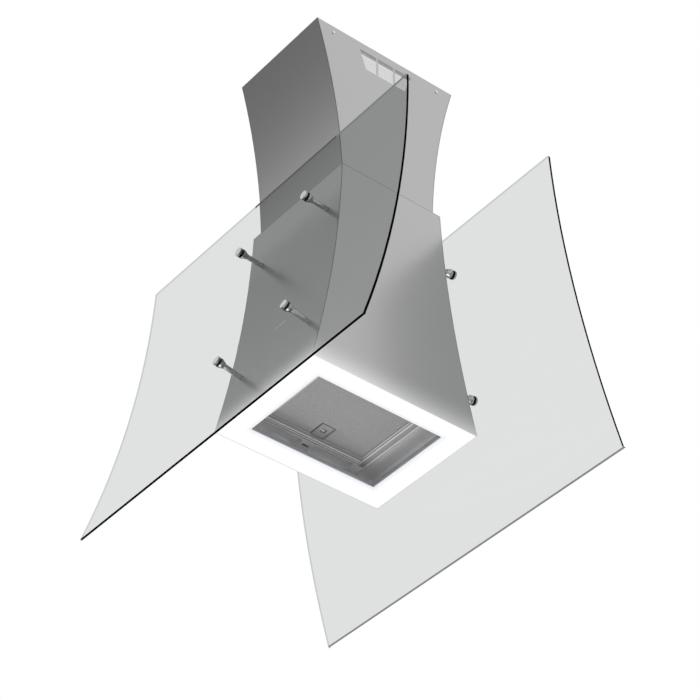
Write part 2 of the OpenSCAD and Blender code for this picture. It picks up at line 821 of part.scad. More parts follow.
module impeller() {
    color(black) translate([0, blower_y, z_blower]) rotate([0, 90, 0]) difference() {
        union() {
            translate([0, 0, -impeller_w / 2]) linear_extrude(impeller_w)
                for (i = [0:blade_count - 1]) rotate(i * 360 / blade_count) blade_section();
            translate([0, 0, -hub_t / 2]) cylinder(r = impeller_r - blade_depth / 2, h = hub_t);
            cylinder(d = hub_d, h = hub_l);
            for (z = [-impeller_w / 2, impeller_w / 2 - end_ring_t])
                translate([0, 0, z]) linear_extrude(end_ring_t) difference() {
                    circle(impeller_r);
                    circle(impeller_r - blade_depth - blade_t);
                }
        }
        translate([0, 0, -hub_t]) cylinder(d = shaft_d + fit_play, h = hub_l + 2 * hub_t);
    }
}

motor_gap = 5;
motor_step = 6;
motor_boss_d = 40;
motor_nose_d = 22;
shaft_grip = 16;
mount_t = 4;
spider_t = 2;
spider_hub_d = 50;
spider_arm_w = 14;
mount_d = 12;
mount_room = 2;
mount_angles = [180, 300, 60];
mount_r = inlet_r + scroll_wall + mount_d / 2 + mount_room;
motor_front = -hub_t / 2 - motor_gap;
spider_x = -scroll_w / 2 - mount_t;
motor_back = spider_x + motor_step;

module motor() {
    color(steel) translate([0, blower_y, z_blower]) difference() {
        union() {
            rod_x(motor_d, motor_back, motor_front - motor_step);
            rod_x(motor_boss_d, spider_x, motor_back + over);
            rod_x(motor_nose_d, motor_front - motor_step - over, motor_front);
        }
        rod_x(shaft_d + 2 * fit_play, motor_front - shaft_grip, motor_front + over);
    }
}

module motor_shaft() {
    color(chrome) translate([0, blower_y, z_blower])
        rod_x(shaft_d, motor_front - shaft_grip + over, hub_l + over);
}

module motor_bracket() {
    color(zinc) translate([spider_x - spider_t, blower_y, z_blower]) rotate([0, 90, 0])
        linear_extrude(spider_t) {
            circle(d = spider_hub_d);
            for (a = mount_angles) rotate(a) {
                translate([0, -spider_arm_w / 2]) square([mount_r, spider_arm_w]);
                translate([mount_r, 0]) circle(d = spider_arm_w);
            }
        }
}

module vibration_mounts() {
    color(black) translate([spider_x, blower_y, z_blower]) rotate([0, 90, 0])
        for (a = mount_angles) rotate(a) translate([mount_r, 0, 0]) cylinder(d = mount_d, h = mount_t);
}

capacitor_d = 32;
capacitor_h = 62;
module capacitor() {
    x = scroll_w / 2 + blower_flange + capacitor_d / 2 + part_gap;
    y = plate_y - plate_t - capacitor_d / 2 - part_gap;
    color(zinc) translate([-x, y, z_scroll_top - capacitor_h]) cylinder(d = capacitor_d, h = capacitor_h);
}

// Outlet spigot with two non-return flaps

spigot_r = outlet_d / 2;
collar_flange_w = 9;
collar_flange_r = spigot_r + collar_flange_w;
collar_flange_t = 2;
flap_axis_y = 4;
flap_t = 1.5;
flap_play = 0.8;
knuckle_d = 6;
knuckle_inset = 18;
flap_pin_d = 3;
ledge_w = 2.5;
ledge_t = 2;
flap_level_share = 0.35;
z_flap = z_seam + outlet_h * flap_level_share;
flap_r = spigot_r - outlet_wall - flap_play;

module outlet_collar() {
    bore_r = spigot_r - outlet_wall;
    z_rest = z_flap - z_seam - flap_t / 2 - wall_gap;
    color(black) translate([0, 0, z_seam]) difference() {
        union() {
            cylinder(r = collar_flange_r, h = collar_flange_t);
            cylinder(r = spigot_r, h = outlet_h);
        }
        translate([0, 0, -over]) cylinder(r = bore_r - ledge_w, h = outlet_h + 2 * over);
        translate([0, 0, z_rest]) cylinder(r = bore_r, h = outlet_h);
        translate([0, 0, -over]) cylinder(r = bore_r, h = over + z_rest - ledge_t);
        for (side = [-1, 1])
            translate([0, side * flap_axis_y, z_flap - z_seam])
                rod_x(flap_pin_d + 2 * fit_play, -spigot_r, spigot_r);
    }
}

// The half-moon flap on the +Y side, with its knuckle along the hinge line
module flap() {
    knuckle_l = 2 * (flap_r - knuckle_inset);
    color(zinc) difference() {
        union() {
            intersection() {
                translate([0, 0, z_flap - flap_t / 2]) cylinder(r = flap_r, h = flap_t);
                block([-flap_r, flap_axis_y, z_flap - flap_t], [flap_r, flap_r, z_flap + flap_t]);
            }
            translate([0, flap_axis_y, z_flap]) rod_x(knuckle_d, -knuckle_l / 2, knuckle_l / 2);
        }
        translate([0, flap_axis_y, z_flap]) rod_x(flap_pin_d + 2 * fit_play, -spigot_r, spigot_r);
    }
}

module flap_pins() {
    color(chrome) for (side = [-1, 1])
        translate([0, side * flap_axis_y, z_flap]) rod_x(flap_pin_d, -spigot_r + over, spigot_r - over);
}

// Buttons, switches and their housing, square to the front sheet

button_play = 0.3;
button_depth = 8;
button_proud = 0.4;
flange_d = 6.4;
flange_t = 1.2;
stem_d = 3;
stem_l = 3.6;
housing_plate = 2.3;
housing_wall = 1.5;
housing_size = [56, 26];
housing_depth = 14;
switch_size = 6;
switch_t = 3.6;
board_t = 1.6;
button_count = 5;
// Depths behind the outer face of the sheet
plate_back = sheet_t + wall_gap + housing_plate;
flange_back = plate_back + wall_gap + flange_t;
switch_front = flange_back + stem_l - wall_gap;
board_front = switch_front + switch_t;

// Z points out of the front sheet, at the middle of the row of buttons
module at_controls() {
    z = z_base + button_level;
    translate([0, -bow_y(body_arc, z), z]) rotate([90 - bow_tilt(body_arc, z), 0, 0]) children();
}
module button_place(i) {
    at_controls() translate([(i - (button_count - 1) / 2) * button_pitch, 0, 0]) children();
}
// The buttons' places on the back sheet, which is mirrored to make the front
module at_buttons() {
    mirror([0, 1, 0]) for (i = [0:button_count - 1]) button_place(i) children();
}

module push_button(i) {
    color(chrome) button_place(i) {
        translate([0, 0, -flange_back + flange_t / 2])
            cylinder(d = button_d, h = flange_back - flange_t / 2 + button_proud);
        translate([0, 0, -flange_back]) cylinder(d = flange_d, h = flange_t);
        translate([0, 0, -flange_back - stem_l]) cylinder(d = stem_d, h = stem_l + flange_t / 2);
    }
}

module control_housing() {
    front = sheet_t + wall_gap;
    color(black) difference() {
        at_controls() translate([0, 0, -front - housing_depth]) linear_extrude(housing_depth)
            square(housing_size, center = true);
        at_controls() translate([0, 0, -front - housing_depth - over])
            linear_extrude(housing_depth - housing_plate + over)
                square(housing_size - 2 * [housing_wall, housing_wall], center = true);
        for (i = [0:button_count - 1])
            button_place(i) translate([0, 0, -button_depth])
                cylinder(d = button_d + 2 * button_play, h = button_depth);
    }
}

module tact_switches() {
    color(black) for (i = [0:button_count - 1]) button_place(i) difference() {
        translate([-switch_size / 2, -switch_size / 2, -board_front])
            cube([switch_size, switch_size, switch_t]);
        translate([0, 0, -switch_front - button_travel - 2 * wall_gap])
            cylinder(d = stem_d + 2 * button_play, h = switch_t);
    }
}

module control_board() {
    color("darkgreen") at_controls() translate([0, 0, -board_front - board_t]) linear_extrude(board_t)
        square(housing_size - 2 * [housing_wall + wall_gap, housing_wall + wall_gap], center = true);
}

// Terminal box on the plate, with a lid and a cable gland

terminal_size = [42, 90, 35];
terminal_wall = 2;
terminal_lid_t = 2;
bolt_edge_x = (scroll_w + blower_flange + blower_bolt_d) / 2;
terminal_x = max(collar_flange_r, bolt_edge_x) + part_gap + terminal_size.x / 2;
gland_bore = 9;
gland_hex = 24;
gland_hex_h = 6;
gland_dome_d = 19;
gland_h = 18;
gland_thread_d = 16;
gland_y = terminal_size.y / 4;

module terminal_box() {
    wall = [terminal_wall, terminal_wall];
    color(zinc) translate([terminal_x, 0, z_seam]) difference() {
        linear_extrude(terminal_size.z) square([terminal_size.x, terminal_size.y], center = true);
        translate([0, 0, terminal_wall]) linear_extrude(terminal_size.z)
            square([terminal_size.x, terminal_size.y] - 2 * wall, center = true);
        translate([0, 0, -over]) cylinder(d = wire_hole_d, h = terminal_wall + 2 * over);
    }
}

module terminal_lid() {
    color(zinc) translate([terminal_x, 0, z_seam + terminal_size.z]) difference() {
        linear_extrude(terminal_lid_t) square([terminal_size.x, terminal_size.y], center = true);
        translate([0, gland_y, -over])
            cylinder(d = gland_thread_d + hole_play, h = terminal_lid_t + 2 * over);
    }
}

module cable_gland() {
    seat = z_seam + terminal_size.z + terminal_lid_t;
    thread_l = 2 * terminal_lid_t + gland_hex_h;
    color(black) translate([terminal_x, gland_y, seat]) difference() {
        union() {
            cylinder(d = gland_hex, h = gland_hex_h, $fn = 6);
            cylinder(d = gland_dome_d, h = gland_h);
            translate([0, 0, -thread_l]) cylinder(d = gland_thread_d, h = thread_l + over);
        }
        translate([0, 0, -thread_l - over]) cylinder(d = gland_bore, h = thread_l + gland_h + 2 * over);
    }
}

// Glass panels and their standoffs, drawn on the +Y side

gasket_t = 1;
gasket_play = 0.2;
sleeve_room = 1.2;
glass_hole_d = stud_d + 2 * sleeve_room;
collar_t = 5;
cone_l = 7;
head_edge = 0.8;
stud_tail = 14;
nut_d = 15;
nut_t = 6.5;
washer_d = 18;
washer_t = 1.6;
// Straight sides that round a corner of the outline
corner_steps = 6;

// A corner rounded with radius r, from the points before, at and after it
function rounded(before, at, after, r) =
    let(
        a = (before - at) / norm(before - at),
        b = (after - at) / norm(after - at),
        half = acos(a * b) / 2,
        centre = at + (a + b) / norm(a + b) * r / sin(half),
        from = at + a * r / tan(half) - centre,
        sweep = (180 - 2 * half) * sign(cross(from, b))
    )
    [for (i = [0:corner_steps]) let(t = sweep * i / corner_steps)
        centre + [from.x * cos(t) - from.y * sin(t), from.x * sin(t) + from.y * cos(t)]];

// The glass's outline seen from the front, wider at the bottom
module glass_outline() {
    top = z_seam + glass_rise;
    bottom = z_base - glass_drop;
    low = glass_w / 2;
    high = glass_top_w / 2;
    points = [[-low, bottom], [low, bottom], [high, top], [-high, top]];
    polygon([for (i = [0:3])
        each rounded(points[(i + 3) % 4], points[i], points[(i + 1) % 4], glass_corner_r)]);
}

// The glass's normal at the height of a row, and the way along it from the glass to the body
function row_z(share) = z_base + body_h * share;
function row_tilt(share) = bow_tilt(glass_arc, row_z(share));
function rod_length(share) =
    let(
        d = [-cos(row_tilt(share)), -sin(row_tilt(share))],
        q = [glass_arc[0] - body_arc[0], glass_arc[1] - body_arc[1]],
        along = d * q
    )
    -along + sqrt(along * along - q * q + pow(body_arc[2], 2)) - glass_arc[2];

// Z points out through the glass, from its inner face
module at_standoff(x, share) {
    z = row_z(share);
    translate([x * standoff_spacing / 2, bow_y(glass_arc, z), z])
        rotate([row_tilt(share) - 90, 0, 0]) children();
}
module standoffs(share) {
    for (side = [-1, 1], x = [-1, 1]) flip_y(side) at_standoff(x, share) children();
}

module glass_panel() {
    color(tint) difference() {
        intersection() {
            along_x(max(glass_w, glass_top_w)) intersection() {
                translate([glass_arc[0], glass_arc[1]]) difference() {
                    circle(glass_arc[2], $fn = arc_fn);
                    circle(glass_arc[2] - glass_t, $fn = arc_fn);
                }
                translate([0, z_base - glass_drop])
                    square([glass_arc[0], body_h + glass_drop + glass_rise]);
            }
            along_y(2 * glass_arc[0]) glass_outline();
        }
        for (x = [-1, 1], share = [standoff_high_share, standoff_low_share])
            at_standoff(x, share) translate([0, 0, -glass_t]) cylinder(d = glass_hole_d, h = 3 * glass_t);
    }
}

// A turned disc whose far edge is chamfered
module turned_head(h) {
    cylinder(d = standoff_head_d, h = h - head_edge);
    translate([0, 0, h - head_edge])
        cylinder(d1 = standoff_head_d, d2 = standoff_head_d - 2 * head_edge, h = head_edge);
}

// Rod from the inner collar to the body, with a thinner stud at each end
module standoff_rods() {
    color(chrome) for (share = [standoff_high_share, standoff_low_share]) {
        reach = rod_length(share);
        standoffs(share) {
            translate([0, 0, -reach + 2 * wall_gap])
                cylinder(d = rod_d, h = reach - 2 * wall_gap - gasket_t - collar_t);
            translate([0, 0, -reach - stud_tail])
                cylinder(d = stud_d, h = reach + stud_tail + glass_t + gasket_t + standoff_cap_t / 2);
        }
    }
}

module standoff_caps() {
    seat = glass_t + gasket_t;
    color(chrome) for (share = [standoff_high_share, standoff_low_share]) standoffs(share) difference() {
        translate([0, 0, seat]) turned_head(standoff_cap_t);
        translate([0, 0, seat - over])
            cylinder(d = stud_d + 2 * fit_play, h = over + standoff_cap_t / 2 + wall_gap);
    }
}

module standoff_collars() {
    color(chrome) for (share = [standoff_high_share, standoff_low_share]) standoffs(share) difference() {
        union() {
            translate([0, 0, -gasket_t]) mirror([0, 0, 1]) turned_head(collar_t);
            translate([0, 0, -gasket_t - collar_t - cone_l])
                cylinder(d1 = rod_d + 2 * sheet_t, d2 = standoff_head_d - 2 * sheet_t, h = cone_l);
        }
        translate([0, 0, -2 * collar_t - cone_l])
            cylinder(d = stud_d + 2 * fit_play, h = 3 * collar_t + cone_l);
        translate([0, 0, -2 * collar_t - cone_l - gasket_t])
            cylinder(d = rod_d + 2 * fit_play, h = collar_t + cone_l);
    }
}

module glass_gaskets() {
    sleeve_d = glass_hole_d - 2 * gasket_play;
    color(black) for (share = [standoff_high_share, standoff_low_share]) standoffs(share) {
        difference() {
            union() {
                translate([0, 0, -gasket_t]) cylinder(d = standoff_head_d, h = gasket_t - gasket_play / 2);
                translate([0, 0, -gasket_t]) cylinder(d = sleeve_d, h = gasket_t + glass_t - gasket_play);
            }
            translate([0, 0, -2 * gasket_t]) cylinder(d = stud_d + 2 * fit_play, h = 2 * glass_t);
        }
        difference() {
            translate([0, 0, glass_t + gasket_play / 2])
                cylinder(d = standoff_head_d, h = gasket_t - gasket_play / 2);
            cylinder(d = stud_d + 2 * fit_play, h = 2 * glass_t);
        }
    }
}

module standoff_nuts() {
    color(zinc) for (share = [standoff_high_share, standoff_low_share]) {
        seat = -rod_length(share) - sheet_t - 3 * wall_gap;
        standoffs(share) difference() {
            union() {
                translate([0, 0, seat - washer_t]) cylinder(d = washer_d, h = washer_t);
                translate([0, 0, seat - washer_t - nut_t]) cylinder(d = nut_d, h = nut_t, $fn = 6);
            }
            translate([0, 0, seat - 2 * nut_t]) cylinder(d = stud_d + 2 * fit_play, h = 3 * nut_t);
        }
    }
}

ceiling_bracket();
flip_x(-1) flip_y(-1) upright();  // upright_front_left
flip_y(-1) upright();  // upright_front_right
flip_x(-1) upright();  // upright_back_left
upright();  // upright_back_right
upright_ties();
frame_bolts();
top_plate();
plate_tabs();
flip_y(-1) chimney_sheet();  // chimney_front
chimney_sheet();  // chimney_back
flip_x(-1) chimney_side();  // chimney_left
chimney_side();  // chimney_right
chimney_screws();
flip_y(-1) body_sheet(true);  // body_front
body_sheet(false);  // body_back
flip_x(-1) body_side();  // body_left
body_side();  // body_right
suction_tray();
light_frame();
light_diffuser();
led_strips();
led_driver();
filter_frame();
filter_mesh();
latch_cup();
filter_latch();
flip_x(-1) scroll_half();  // scroll_left
scroll_half();  // scroll_right
impeller();
motor();
motor_shaft();
motor_bracket();
vibration_mounts();
capacitor();
blower_bolts();
outlet_collar();
flip_y(-1) flap();  // flap_front
flap();  // flap_back
flap_pins();
control_housing();
control_board();
tact_switches();
push_button(0);  // button_1
push_button(1);  // button_2
push_button(2);  // button_3
push_button(3);  // button_4
push_button(4);  // button_5
terminal_box();
terminal_lid();
cable_gland();
flip_y(-1) glass_panel();  // front_glass
glass_panel();  // back_glass
standoff_rods();
standoff_caps();
standoff_collars();
glass_gaskets();
standoff_nuts();
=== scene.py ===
"""Looks of a curved glass island hood: finishes for its parts, the fine pieces and the studio.

Metres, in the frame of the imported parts: +Z up, the ceiling at z = 0, and the buttons on the -Y side.
"""

import bmesh
import bpy
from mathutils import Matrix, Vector


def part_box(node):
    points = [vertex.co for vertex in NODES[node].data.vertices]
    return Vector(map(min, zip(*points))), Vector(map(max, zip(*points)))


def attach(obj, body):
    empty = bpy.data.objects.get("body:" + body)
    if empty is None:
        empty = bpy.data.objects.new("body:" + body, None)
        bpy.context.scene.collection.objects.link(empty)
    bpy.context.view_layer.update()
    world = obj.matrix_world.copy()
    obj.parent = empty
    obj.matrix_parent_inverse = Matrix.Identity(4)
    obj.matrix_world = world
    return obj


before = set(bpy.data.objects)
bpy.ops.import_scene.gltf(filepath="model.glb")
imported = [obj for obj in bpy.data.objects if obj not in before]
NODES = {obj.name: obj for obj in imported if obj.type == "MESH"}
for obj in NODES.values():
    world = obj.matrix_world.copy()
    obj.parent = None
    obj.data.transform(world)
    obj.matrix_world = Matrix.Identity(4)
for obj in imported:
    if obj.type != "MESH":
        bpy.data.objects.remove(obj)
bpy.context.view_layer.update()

bl_info = {
    "name": "Curved Glass Hood",
    "version": (1, 0, 0),
    "blender": (4, 5, 0),
    "location": "3D View > Sidebar > Hood",
    "description": "Finishes, fine pieces and studio for a curved glass island hood",
    "category": "Object",
}

MM = 0.001

# Sockets of a Mix node that share their names with its other kinds of mixing
MIX_FIRST_COLOUR, MIX_SECOND_COLOUR, MIX_COLOUR_OUT = 6, 7, 2


# Shader maths

class Value:
    """A socket of a node tree that takes part in Python arithmetic."""

    def __init__(self, finish, socket):
        self.finish = finish
        self.socket = socket

    def maths(self, operation, *others):
        sockets = dict(enumerate((self,) + others))
        return self.finish.add("Math", {"operation": operation}, sockets)

    def __add__(self, other):
        return self.maths("ADD", other)

    def __radd__(self, other):
        return self.maths("ADD", other)

    def __sub__(self, other):
        return self.maths("SUBTRACT", other)

    def __rsub__(self, other):
        return self.finish.add("Math", {"operation": "SUBTRACT"}, {0: other, 1: self})

    def __mul__(self, other):
        return self.maths("MULTIPLY", other)

    def __rmul__(self, other):
        return self.maths("MULTIPLY", other)

    def __truediv__(self, other):
        return self.maths("DIVIDE", other)

    def __gt__(self, other):
        return self.maths("GREATER_THAN", other)

    def __lt__(self, other):
        return self.maths("LESS_THAN", other)

    def __abs__(self):
        return self.maths("ABSOLUTE")

    def clamp(self):
        return self.finish.add("Clamp", {}, {0: self})

    def ramp_from(self, low, high):
        """0 at low, 1 at high, straight between them."""
        return ((self - low) / (high - low)).clamp()

    def around(self, middle, spread):
        """A noise, from 0 to 1, as values about a middle one."""
        return (self - 0.5) * spread + middle


class Finish:
    """The node tree of a material or world, with one method that adds any node."""

    def __init__(self, owner):
        owner.use_nodes = True
        self.owner = owner
        self.tree = owner.node_tree
        self.tree.nodes.clear()

    def add(self, kind, settings=None, sockets=None, output=0):
        node = self.tree.nodes.new("ShaderNode" + kind)
        for key, value in (settings or {}).items():
            setattr(node, key, value)
        for key, value in (sockets or {}).items():
            target = node.inputs[key]
            if isinstance(value, Value):
                self.tree.links.new(value.socket, target)
            else:
                target.default_value = value
        return Value(self, node.outputs[output]) if node.outputs else None

    def blend_colour(self, factor, first, second):
        sockets = {0: factor, MIX_FIRST_COLOUR: as_colour(first), MIX_SECOND_COLOUR: as_colour(second)}
        return self.add("Mix", {"data_type": "RGBA"}, sockets, MIX_COLOUR_OUT)

    def blend_shader(self, factor, first, second):
        return self.add("MixShader", {}, {0: factor, 1: first, 2: second})

    def scaled(self, tone, level):
        return self.add("VectorMath", {"operation": "SCALE"}, {0: tone, "Scale": level})

    def ray(self, fact):
        return self.add("LightPath", output=fact)

    def axes(self, vector):
        return [self.add("SeparateXYZ", {}, {0: vector}, axis) for axis in "XYZ"]

    def place(self):
        """The point's place in the object's own metres, as X, Y and Z."""
        return self.axes(self.add("TexCoord", output="Object"))

    def facing(self):
        """The surface's own normal, as X, Y and Z."""
        return self.axes(self.add("NewGeometry", output="True Normal"))

    def noise(self, scales, detail=2.0, rough=0.5):
        """Noise from 0 to 1, with its own scale along each axis, in cycles a metre."""
        point = self.add("TexCoord", output="Object")
        spread = self.add("VectorMath", {"operation": "MULTIPLY"}, {0: point, 1: scales})
        sockets = {"Vector": spread, "Scale": 1.0, "Detail": detail, "Roughness": rough}
        return self.add("TexNoise", {}, sockets)

    def bump(self, height, depth, strength):
        return self.add("Bump", {}, {"Height": height, "Distance": depth, "Strength": strength})

    def shade(self, sockets):
        """Ends the material in one Principled shader and returns the material."""
        sockets = {key: as_colour(v) if "Color" in key else v for key, v in sockets.items()}
        return self.end(self.add("BsdfPrincipled", {}, sockets))

    def end(self, shader):
        self.add("OutputMaterial", {}, {"Surface": shader})
        return self.owner


def new_finish(name):
    return Finish(bpy.data.materials.new(name))


def as_colour(value):
    return value if isinstance(value, Value) or len(value) == 4 else (*value, 1)


def grey(level):
    return (level, level, level)


def even(scale):
    """The same scale of noise along each axis."""
    return (scale, scale, scale)


# Finishes

BLACK = (0, 0, 0)

GRAIN = (1300, 1300, 14)    # the brushing along Z, in cycles a metre
UNEVEN = (6, 6, 2.5)        # broad unevenness of the brushed sheets, in cycles a metre
GRAIN_TONE = 0.04           # how much the brushing changes the tone
UNEVEN_TONE = 0.05          # how much the unevenness does
GRAIN_BUMP = 0.04
SHEET_ROUGH = 0.3
GRAIN_ROUGH = 0.02          # how much the brushing changes the roughness
COVER_TOP = 134.5 * MM      # half the width of the chimney's bowed sheets at their top
BODY_TOP = 150 * MM         # half the width of the body's bowed sheets at their top
JOINT_LINE = 1.2 * MM       # width of the shadow line where two sheets meet
LINE_DARK = 0.6             # share of the tone that a shadow line takes away
PAINTED_GLOW_RISE = 70 * MM         # how far up the painted light of the ring reaches on the sheets
CUT_FACING = 0.7            # a face that looks down more than this is the cut edge of a slot
CUT_PAINTED_LIGHT = 0.95             # painted light: the near-white tone of a cut edge
PAINTED_SHADE_ROWS = 33 * MM         # the slots this near the ceiling get painted shade
CUT_PAINTED_SHADE = 0.12        # painted shade on a cut edge in those slots
SLOT_PAINTED_LIGHT = 0.6            # strength of the painted light that glows in the cut edges of the slots

FACE_DEPTH = 0.02 * MM      # height of the fine marks on metal
MOTTLE_TONE = 0.25          # how much the mottle of plated metal changes the tone
TRAY_TONE = 0.2             # the same on the tray
MOTTLE_ROUGH = 0.2          # how much the mottle changes the roughness
MOTTLE_BUMP = 0.4
RIDGE_DROP = 0.3 * MM       # what hangs this far below the filter frame is a ridge or bead of the tray
POCKET_RISE = 1.5 * MM      # what lies this far above it is a pocket
PAD_LINE = 119 * MM         # half of the tray's width between its side pads

OPAL_TONE = (0.25, 0.25, 0.247)
WARM_EDGE = (0.84, 0.81, 0.74)      # light at the outer edge of the ring
WARM_WIDTH = 7 * MM         # how far in from there it turns white
LIGHT_OPENING = (0.107, 0.1545)  # half of the light frame's opening along X and Y
LIP = 13 * MM               # width of the light frame's inner lip
LIP_SIDE = 2 * MM           # how far up from its underside the frame glows with painted light
LIP_PAINTED_LIGHT = (0.86, 0.87, 0.90)       # painted light on the lip at the opening
LIP_RING_PAINTED_LIGHT = (0.92, 0.92, 0.94)  # painted light on the lip beside the ring
PAINTED_LIP_SHARE = 0.5             # strength of the lip's painted light, as a share of the ring's

EDGE_FACING = 0.6           # how square to an axis a face of the glass has to be to count as facing it
GLASS_INDEX = 1.05          # low, because more of it leaves grain on the steel behind
PALE_EDGE = (0.66, 0.69, 0.68)      # what a pale edge lets through
LAMP_TINT = (0.86, 0.88, 0.87)      # what a pane lets through from a lamp
BACK_EDGE_PAINTED_LIGHT = 0.4             # how much painted light of the ring brightens the bottom edge of the back glass
SMUDGE = 0.02               # the most gloss that a smudge adds


def brushed(name, tone, node, bowed=0, slotted=False, painted_glow=0):
    """Steel brushed along Z, with a faint broad unevenness.

    A bowed sheet, given by half its width at the top, has a shadow line along its corners. A slotted one has
    painted light on the cut edges of its slots, and painted shade on those in the top rows.
    Given a strength of painted light, an emission paints light of the ring on the lower margin, and a shadow
    line runs along the joint at the top.
    """
    finish = new_finish(name)
    low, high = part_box(node)
    x, _, z = finish.place()
    grain = finish.noise(GRAIN)
    broad = finish.noise(UNEVEN, detail=1)
    level = (grain - 0.5) * GRAIN_TONE + (broad - 0.5) * UNEVEN_TONE + 1.0
    if bowed:
        taper = (high.x - bowed) / (high.z - low.z)
        corner = abs(x) + (z - low.z) * taper > high.x - JOINT_LINE
        level = level * (1 - corner * LINE_DARK)
    if painted_glow:
        level = level * (1 - (z > high.z - JOINT_LINE) * LINE_DARK)
    sockets = {
        "Base Color": finish.scaled(tone, level),
        "Metallic": 1.0,
        "Roughness": grain.around(SHEET_ROUGH, GRAIN_ROUGH),
        "Normal": finish.bump(grain, FACE_DEPTH, GRAIN_BUMP),
    }
    if slotted:
        # Painted light: the cut edges of the slots are painted near white and given emission; in the top rows
        # they get painted shade instead.
        cut = finish.facing()[2] < -CUT_FACING
        cut_painted_light_and_shade = finish.blend_colour(z > high.z - PAINTED_SHADE_ROWS, grey(CUT_PAINTED_LIGHT), grey(CUT_PAINTED_SHADE))
        sockets["Base Color"] = finish.blend_colour(cut, sockets["Base Color"], cut_painted_light_and_shade)
        sockets["Metallic"] = 1 - cut
        sockets["Emission Color"] = finish.blend_colour(cut, BLACK, cut_painted_light_and_shade)
        sockets["Emission Strength"] = SLOT_PAINTED_LIGHT
    if painted_glow:
        # Painted light: an emission that fades upwards over the lower margin stands in for light of the ring on
        # the sheets.
        fade = z.ramp_from(low.z + PAINTED_GLOW_RISE, low.z)
        sockets["Emission Color"] = finish.blend_colour(fade * fade, BLACK, grey(painted_glow))
        sockets["Emission Strength"] = 1.0
    return finish.shade(sockets)


def sheet_metal(name, tone, rough=0.45, spangle=60, metallic=1.0):
    """Plated or satin sheet with a soft mottle."""
    finish = new_finish(name)
    mottle = finish.noise(even(spangle), detail=3, rough=0.6)
    return finish.shade({
        "Base Color": finish.scaled(tone, mottle.around(1.0, MOTTLE_TONE)),
        "Metallic": metallic,
        "Roughness": mottle.around(rough, MOTTLE_ROUGH),
        "Normal": finish.bump(mottle, FACE_DEPTH, MOTTLE_BUMP),
    })


def pressed_tray(name, flat, ridge_painted_highlight, pocket_painted_light):
    """The pressed tray: satin steel, with painted highlights on its ridges and painted light of the ring on its
    pockets and side pads.
    """
    finish = new_finish(name)
    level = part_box("filter_frame")[0].z
    x, _, z = finish.place()
    mottle = finish.noise(even(120), detail=3, rough=0.6)
    # Painted light: side pads and pockets are painted near white, and ridges and bead pale, in place of the
    # light of the ring.
    tone = finish.blend_colour(abs(x) > PAD_LINE, grey(flat), grey(pocket_painted_light))
    tone = finish.blend_colour(z < level - RIDGE_DROP, tone, grey(ridge_painted_highlight))
    tone = finish.blend_colour(z > level + POCKET_RISE, tone, grey(pocket_painted_light))
    return finish.shade({
        "Base Color": finish.scaled(tone, mottle.around(1.0, TRAY_TONE)),
        "Metallic": 0.1,
        "Roughness": mottle.around(0.4, MOTTLE_ROUGH),
        "Normal": finish.bump(mottle, FACE_DEPTH, MOTTLE_BUMP),
    })


def polished(name, tone, rough=0.12):
    """Turned and polished metal with faint marks."""
    finish = new_finish(name)
    marks = finish.noise(even(500))
    return finish.shade({
        "Base Color": tone,
        "Metallic": 1.0,
        "Roughness": marks.around(rough, 0.08),
    })


def moulded(name, tone, rough=0.5, grain=900, depth=0.05 * MM):
    """Moulded plastic or rubber with a fine eroded grain."""
    finish = new_finish(name)
    grains = finish.noise(even(grain))
    return finish.shade({
        "Base Color": finish.scaled(tone, grains.around(1.0, 0.2)),
        "Roughness": grains.around(rough, 0.15),
        "Normal": finish.bump(grains, depth, 0.5),
    })


def opal(name, strength):
    """Opal plastic lit from behind, a touch warmer and dimmer at its outer edge."""
    finish = new_finish(name)
    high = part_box("light_diffuser")[1]
    x, y, _ = finish.place()
    inset = finish.add("Math", {"operation": "MINIMUM"}, {0: high.x - abs(x), 1: high.y - abs(y)})
    return finish.shade({
        "Base Color": OPAL_TONE,
        "Roughness": 0.4,
        "Emission Color": finish.blend_colour(inset.ramp_from(0, WARM_WIDTH), WARM_EDGE, grey(1.0)),
        "Emission Strength": strength,
    })


def frame_with_painted_light(name, strength):
    """The light frame, whose inner lip glows with painted light that stands in for the light of the opal ring
    beside it.
    """
    finish = new_finish(name)
    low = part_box("light_frame")[0]
    x, y, z = finish.place()
    past_x = abs(x) - (LIGHT_OPENING[0] + LIP)
    past_y = abs(y) - (LIGHT_OPENING[1] + LIP)
    past = finish.add("Math", {"operation": "MAXIMUM"}, {0: past_x, 1: past_y})
    # Painted light on the inner lip, brighter beside the ring.
    painted_glow = finish.blend_colour(past.ramp_from(-LIP, 0), LIP_PAINTED_LIGHT, LIP_RING_PAINTED_LIGHT)
    mottle = finish.noise(even(80))
    return finish.shade({
        "Base Color": (0.5, 0.51, 0.53),
        "Metallic": 0.3,
        "Roughness": mottle.around(0.4, 0.1),
        "Emission Color": finish.blend_colour(z < low.z + LIP_SIDE, BLACK, painted_glow),
        "Emission Strength": strength,
    })


